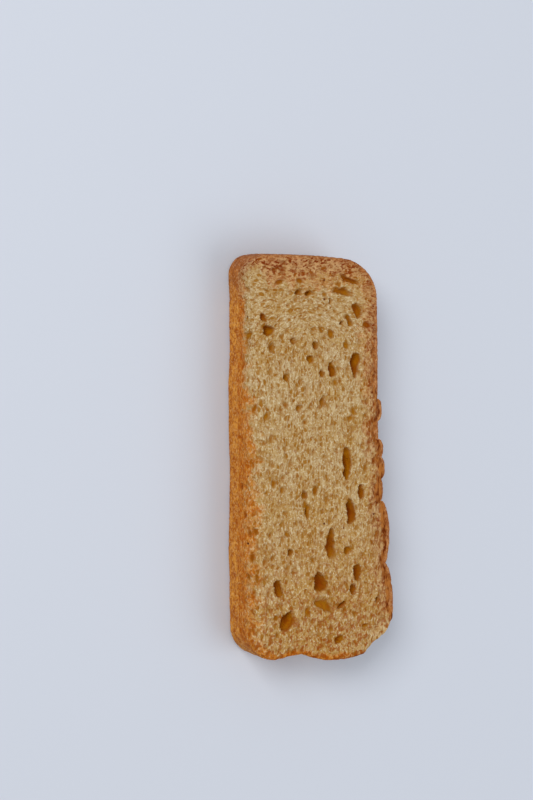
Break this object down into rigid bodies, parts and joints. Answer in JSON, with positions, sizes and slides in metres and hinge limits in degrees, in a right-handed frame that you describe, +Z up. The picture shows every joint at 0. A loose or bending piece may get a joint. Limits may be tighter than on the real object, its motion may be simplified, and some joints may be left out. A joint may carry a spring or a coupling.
{
  "type": "rusk",
  "caption": "Oblong slice of twice-baked bread with an open, toasted crumb on both cut faces, a smooth crust on one side and a blistered crust on the other.",
  "frame": {"origin": "on the surface it lies on, under the middle of the slice's bounding box", "axes": "+Z up, through the slice's thickness; +Y along the slice to its narrow end; +X across it to the blistered crust"},
  "size_m": [0.0434, 0.107, 0.014],
  "materials": {
    "toasted_crumb": "dry porous golden crumb with orange-brown crust round its edge"
  },
  "bodies": {
    "root": {"rusk": "toasted_crumb"}
  },
  "joints": []
}
